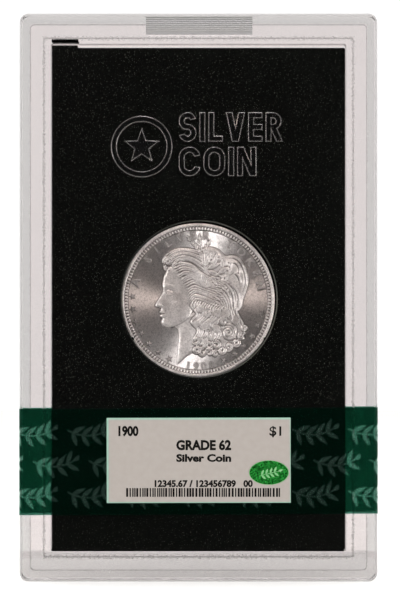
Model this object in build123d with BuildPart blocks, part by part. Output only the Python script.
from build123d import *
import os

# Graded coin slab: a coin in a black insert, sealed between two clear moulded halves.
# The slab stands upright. +Z is up, +X is to the right, and the front faces -Y.
# The origin is at the middle of the bottom edge. Sizes are in millimetres.

# Clear holder
slab_width = 88.0
slab_height = 139.7
slab_thickness = 9.0
corner_radius = 2.2
edge_radius = 0.5
plate_thickness = 2.3
fit_gap = 0.05
parting_gap = 0.05
floor_gap = 0.05
outer_wall = 2.4
contact_inset = 5.85
contact_radius = 0.6
pocket_width = 72.8
pocket_height = 125.1
pocket_radius = 0.5
wall_head_gap = 0.1

# Ribbed finger grip in the front cover's top edge
grip_width = 26.2
grip_offset = 0.15
grip_top_strip = 0.6
grip_height = 4.6
grip_depth = 0.35
rib_count = 9
rib_rise = 0.3

# Coin, which lies a little low and to the left in its well
coin_radius = 19.05
coin_thickness = 2.4
coin_rim_width = 1.3
coin_field_depth = 0.2
coin_drop = (-0.29, -0.31)

# Black insert, a front plate on a shallow rear tray
core_width = 72.3
core_height = 124.1
core_radius = 0.4
core_tab_width = 6.35
core_tab_rise = 0.6
core_notch = (0.6, 0.5)
front_plate_thickness = 0.75
rear_plate_thickness = 0.7
tray_wall = 1.2
well_center = (0.11, -0.35)
well_play = 0.05
front_hole_radius = 19.15
rear_hole_radius = 18.4
ring_inner_radius = 19.6
ring_outer_radius = 24.0
hole_bevel = 0.3
nub_angles = (90, 211, 329)
nub_radius = 0.45
nub_reach = 0.45

# Raised title
relief_height = 0.35
relief_bevel = 0.24
stroke = 1.5
slant_stroke = 1.7
letter_height = 7.3
letter_gap = 0.7
row_left = -4.9
upper_row_base = 38.4
lower_row_base = 29.9
emblem_center = (-14.0, 37.2)
emblem_radius = 7.6
star_radius = 4.6
star_waist = 0.42

# Seal band, label and sticker, all thin sheets on the front
film = 0.1
band_height = 26.1
band_center = -40.25
band_tilt = 0.25
label_size = (44.5, 20.2)
label_center = (0.2, -40.1)
label_tilt = 0.1
backing_margin = 0.35
backing_shift = (-0.15, 0.1)
sticker_size = (9.8, 6.0)
sticker_center = (17.3, -43.0)

# Places that follow from the sizes above, as depths in front of the slab's middle plane
face_depth = slab_thickness / 2
window_depth = face_depth - plate_thickness
floor_depth = -window_depth
core_back_depth = floor_depth + floor_gap
wall_head_depth = window_depth - wall_head_gap
tongue_depth = floor_depth + wall_head_gap
tray_floor_depth = floor_depth + rear_plate_thickness
ring_height = coin_thickness + 2 * well_play
tray_head_depth = tray_floor_depth + ring_height
core_face_depth = tray_head_depth + front_plate_thickness
coin_center = (well_center[0] + coin_drop[0], well_center[1] + coin_drop[1])
coin_depth = (tray_floor_depth + tray_head_depth) / 2
core_center = (0, core_height / 2 - pocket_height / 2)
through = 2 * slab_thickness

os.makedirs("parts", exist_ok=True)


def front(depth):
    """A plane parallel to the slab's front, this far in front of its middle, seen from the front."""
    return Plane(origin=(0, -depth, slab_height / 2), x_dir=(1, 0, 0), z_dir=(0, -1, 0))


def outline(inset, radius, mode=Mode.ADD):
    """The slab's rounded outline, drawn in by inset."""
    RectangleRounded(slab_width - 2 * inset, slab_height - 2 * inset, radius, mode=mode)


def pocket_outline(mode=Mode.ADD):
    RectangleRounded(pocket_width, pocket_height, pocket_radius, mode=mode)


def core_outline():
    """The insert's outline, with its raised tab at the top left and its notch at the bottom right."""
    with Locations(core_center):
        RectangleRounded(core_width, core_height, core_radius)
    top = core_center[1] + core_height / 2
    with Locations((core_tab_width / 2 - core_width / 2, top)):
        Rectangle(core_tab_width, 2 * core_tab_rise)
    bottom = core_center[1] - core_height / 2
    with Locations((core_width / 2, bottom)):
        Rectangle(core_notch[0], 2 * core_notch[1], mode=Mode.SUBTRACT)


def save(piece, name):
    piece.part.label = name
    export_step(piece.part, "parts/" + name + ".step")


# Rear shell: floor, outer wall up to just short of the parting plane, and the pocket's inner wall
with BuildPart() as rear_shell:
    with BuildSketch(front(-face_depth)):
        outline(0, corner_radius)
    extrude(amount=plate_thickness)
    with BuildSketch(front(floor_depth)):
        outline(0, corner_radius)
        outline(outer_wall, corner_radius / 2, mode=Mode.SUBTRACT)
    extrude(amount=-floor_depth - parting_gap)
    with BuildSketch(front(floor_depth)):
        outline(contact_inset, contact_radius)
        pocket_outline(mode=Mode.SUBTRACT)
    extrude(amount=wall_head_depth - floor_depth)
    back_edges = rear_shell.faces().sort_by(Axis.Y)[-1].edges()
    fillet(back_edges, edge_radius)
save(rear_shell, "rear_shell")

# Front cover: window plate, solid rim, and the tongue that presses into the channel
with BuildPart() as front_cover:
    with BuildSketch(front(window_depth)):
        outline(0, corner_radius)
    extrude(amount=plate_thickness)
    with BuildSketch(front(0)):
        outline(0, corner_radius)
        outline(contact_inset - fit_gap, contact_radius, mode=Mode.SUBTRACT)
    extrude(amount=window_depth)
    with BuildSketch(front(tongue_depth)):
        outline(outer_wall + fit_gap, corner_radius / 2)
        outline(contact_inset - fit_gap, contact_radius, mode=Mode.SUBTRACT)
    extrude(amount=-tongue_depth)
    front_edges = front_cover.faces().sort_by(Axis.Y)[0].edges()
    fillet(front_edges, edge_radius)

    # The grip: a shallow recess with small ridges across it
    grip_middle = slab_height / 2 - grip_top_strip - grip_height / 2
    with BuildSketch(front(face_depth - grip_depth)):
        with Locations((grip_offset, grip_middle)):
            Rectangle(grip_width, grip_height)
    extrude(amount=through, mode=Mode.SUBTRACT)
    rib_pitch = grip_height / rib_count
    rib_foot = face_depth - grip_depth
    with BuildSketch(Plane.YZ.offset(grip_offset)):
        for rib in range(rib_count):
            top = slab_height - grip_top_strip - rib * rib_pitch
            Polygon(
                (-rib_foot + edge_radius, top),
                (-rib_foot, top),
                (-rib_foot - rib_rise, top - rib_pitch / 2),
                (-rib_foot, top - rib_pitch),
                (-rib_foot + edge_radius, top - rib_pitch),
            )
    extrude(amount=grip_width / 2, both=True)
save(front_cover, "front_cover")

# Insert, rear half: a tray whose floor holds the coin's rim round a see-through hole.
# It lies just clear of the shell's floor
with BuildPart() as core_rear_plate:
    with BuildSketch(front(core_back_depth)):
        core_outline()
    extrude(amount=tray_head_depth - core_back_depth)
    with BuildSketch(front(tray_floor_depth)):
        with Locations(core_center):
            RectangleRounded(
                core_width - 2 * tray_wall, core_height - 2 * tray_wall, core_radius
            )
    extrude(amount=through, mode=Mode.SUBTRACT)
    with BuildSketch(front(-face_depth)):
        with Locations(well_center):
            Circle(rear_hole_radius)
    extrude(amount=through, mode=Mode.SUBTRACT)
save(core_rear_plate, "core_rear_plate")

# Insert, front half: the plate with the coin's opening and the three nubs that hold it
with BuildPart() as core_front_plate:
    with BuildSketch(front(tray_head_depth)):
        core_outline()
        with Locations(well_center):
            Circle(front_hole_radius, mode=Mode.SUBTRACT)
    extrude(amount=front_plate_thickness)
    plate_face = core_front_plate.faces().sort_by(Axis.Y)[0]
    hole_rim = plate_face.inner_wires()[0].edges()
    chamfer(hole_rim, hole_bevel)
    with BuildSketch(front(tray_head_depth)):
        with Locations(well_center):
            for angle in nub_angles:
                reach = front_hole_radius - nub_reach + nub_radius
                nub_place = Vector(reach, 0).rotate(Axis.Z, angle)
                with Locations(nub_place):
                    Circle(nub_radius)
    extrude(amount=front_plate_thickness - hole_bevel)
save(core_front_plate, "core_front_plate")

# Spacer ring round the coin's edge
with BuildPart() as coin_ring:
    with BuildSketch(front(tray_floor_depth)):
        with Locations(well_center):
            Circle(ring_outer_radius)
            Circle(ring_inner_radius, mode=Mode.SUBTRACT)
    extrude(amount=ring_height)
save(coin_ring, "coin_ring")

# Coin: a blank with a raised rim on both faces
with BuildPart() as coin:
    with BuildSketch(front(coin_depth)):
        with Locations(coin_center):
            Circle(coin_radius)
    extrude(amount=coin_thickness / 2, both=True)
    for side in (-1, 1):
        field_depth = coin_depth + side * (coin_thickness / 2 - coin_field_depth)
        with BuildSketch(front(field_depth)):
            with Locations(coin_center):
                Circle(coin_radius - coin_rim_width)
        extrude(amount=side * coin_field_depth, mode=Mode.SUBTRACT)
save(coin, "coin")

# Block letters. Each is drawn with its left edge at x and its foot at y, and returns its width.
half_stroke = stroke / 2
cap_line = letter_height - half_stroke
small_bowl = (letter_height / 2 - half_stroke) / 2
round_bowl = 1.95
narrow_width = 3.6
medium_width = 4.0
wide_width = 4.8


def strokes(path):
    """Straight strokes from point to point, with square ends and mitred corners."""
    with BuildLine() as route:
        Polyline(*path)
    trace(route.edges(), line_width=stroke)


def curved_stroke(center, radius, start_angle, turn):
    """A stroke along an arc, with square ends."""
    with BuildLine() as edges:
        outer = CenterArc(center, radius + half_stroke, start_angle, turn)
        inner = CenterArc(center, radius - half_stroke, start_angle, turn)
        Line(outer @ 0, inner @ 0)
        Line(outer @ 1, inner @ 1)
    make_face(edges.edges())


def letter_c(x, y):
    left = x + half_stroke
    middle = left + round_bowl
    low = y + half_stroke + round_bowl
    high = y + cap_line - round_bowl
    curved_stroke((middle, high), round_bowl, 10, 170)
    strokes([(left, high), (left, low)])
    curved_stroke((middle, low), round_bowl, 180, 170)
    return 2 * round_bowl + stroke


def letter_e(x, y):
    left = x + half_stroke
    right = x + narrow_width
    foot = y + half_stroke
    head = y + cap_line
    middle = y + letter_height / 2
    strokes([(right, head), (left, head), (left, foot), (right, foot)])
    strokes([(left, middle), (right, middle)])
    return narrow_width


def letter_i(x, y):
    strokes([(x + half_stroke, y), (x + half_stroke, y + letter_height)])
    return stroke


def letter_l(x, y):
    left = x + half_stroke
    foot = y + half_stroke
    strokes([(left, y + letter_height), (left, foot), (x + narrow_width, foot)])
    return narrow_width


def letter_n(x, y):
    top = y + letter_height
    right = x + wide_width
    for edge in (x, right - stroke):
        strokes([(edge + half_stroke, y), (edge + half_stroke, top)])
    Polygon((x, top), (x + slant_stroke, top), (right, y), (right - slant_stroke, y))
    return wide_width


def letter_o(x, y):
    width = 2 * round_bowl + stroke
    with Locations((x + width / 2, y + letter_height / 2)):
        SlotOverall(letter_height, width, rotation=90)
        SlotOverall(letter_height - 2 * stroke, width - 2 * stroke, rotation=90, mode=Mode.SUBTRACT)
    return width


def letter_r(x, y):
    left = x + half_stroke
    head = y + cap_line
    waist = head - 2 * small_bowl
    turn = x + medium_width - half_stroke - small_bowl
    strokes([(left, y), (left, y + letter_height)])
    strokes([(x, head), (turn, head)])
    strokes([(x, waist), (turn, waist)])
    curved_stroke((turn, waist + small_bowl), small_bowl, 90, -180)
    hip = turn - half_stroke
    foot = x + medium_width + half_stroke / 2
    Polygon((hip, waist), (hip + slant_stroke, waist), (foot, y), (foot - slant_stroke, y))
    return medium_width + half_stroke / 2


def letter_s(x, y):
    middle = x + half_stroke + small_bowl
    upper = y + cap_line - small_bowl
    lower = y + half_stroke + small_bowl
    curved_stroke((middle, upper), small_bowl, 15, 255)
    curved_stroke((middle, lower), small_bowl, 90, -255)
    return 2 * small_bowl + stroke


def letter_v(x, y):
    top = y + letter_height
    middle = x + wide_width / 2
    run = wide_width / 2 - slant_stroke / 2
    notch = top - letter_height * (wide_width / 2 - slant_stroke) / run
    Polygon(
        (x, top),
        (x + slant_stroke, top),
        (middle, notch),
        (x + wide_width - slant_stroke, top),
        (x + wide_width, top),
        (middle + slant_stroke / 2, y),
        (middle - slant_stroke / 2, y),
    )
    return wide_width


def letter_row(letters, y):
    x = row_left
    for letter in letters:
        x += letter(x, y) + letter_gap


def star(center, radius):
    """A five-pointed star, point up."""
    corners = []
    for corner in range(10):
        reach = radius if corner % 2 == 0 else radius * star_waist
        corners.append(center + Vector(0, reach).rotate(Axis.Z, 36 * corner))
    Polygon(*corners)


# Raised title on the insert: a ringed star and two rows of plain block letters
upper_row = (letter_s, letter_i, letter_l, letter_v, letter_e, letter_r)
lower_row = (letter_c, letter_o, letter_i, letter_n)
with BuildPart() as title_relief:
    with BuildSketch(front(core_face_depth)):
        letter_row(upper_row, upper_row_base)
        letter_row(lower_row, lower_row_base)
        with Locations(emblem_center):
            Circle(emblem_radius)
            Circle(emblem_radius - stroke, mode=Mode.SUBTRACT)
        star(Vector(*emblem_center), star_radius)
    extrude(amount=relief_height)
    face_edges = title_relief.faces().group_by(Axis.Y)[0].edges()
    chamfer(face_edges, relief_bevel)
save(title_relief, "title_relief")

# Seal band: a film round the slab, in two halves that meet at the parting plane
for name, hidden_side in (("seal_band_front", 1), ("seal_band_rear", -1)):
    with BuildPart() as band_half:
        with BuildSketch(Plane.XY):
            RectangleRounded(
                slab_width + 2 * film, slab_thickness + 2 * film, edge_radius + film
            )
            RectangleRounded(slab_width, slab_thickness, edge_radius, mode=Mode.SUBTRACT)
            with Locations((0, hidden_side * slab_thickness)):
                Rectangle(2 * slab_width, 2 * slab_thickness, mode=Mode.SUBTRACT)
        extrude(amount=slab_height)
        with BuildSketch(front(0)):
            with Locations((0, band_center)):
                Rectangle(2 * slab_width, band_height, rotation=band_tilt)
        extrude(amount=slab_thickness, both=True, mode=Mode.INTERSECT)
    save(band_half, name)

# Label, its white carrier sheet, and the oval sticker, one on the other
with BuildPart() as label_backing:
    with BuildSketch(front(face_depth + film)):
        with Locations(label_center):
            with Locations(backing_shift):
                Rectangle(
                    label_size[0] + 2 * backing_margin,
                    label_size[1] + 2 * backing_margin,
                    rotation=label_tilt,
                )
    extrude(amount=film)
save(label_backing, "label_backing")

with BuildPart() as label:
    with BuildSketch(front(face_depth + 2 * film)):
        with Locations(label_center):
            Rectangle(*label_size, rotation=label_tilt)
    extrude(amount=film)
save(label, "label")

with BuildPart() as grade_sticker:
    with BuildSketch(front(face_depth + 3 * film)):
        with Locations(sticker_center):
            Ellipse(sticker_size[0] / 2, sticker_size[1] / 2)
    extrude(amount=film)
save(grade_sticker, "grade_sticker")
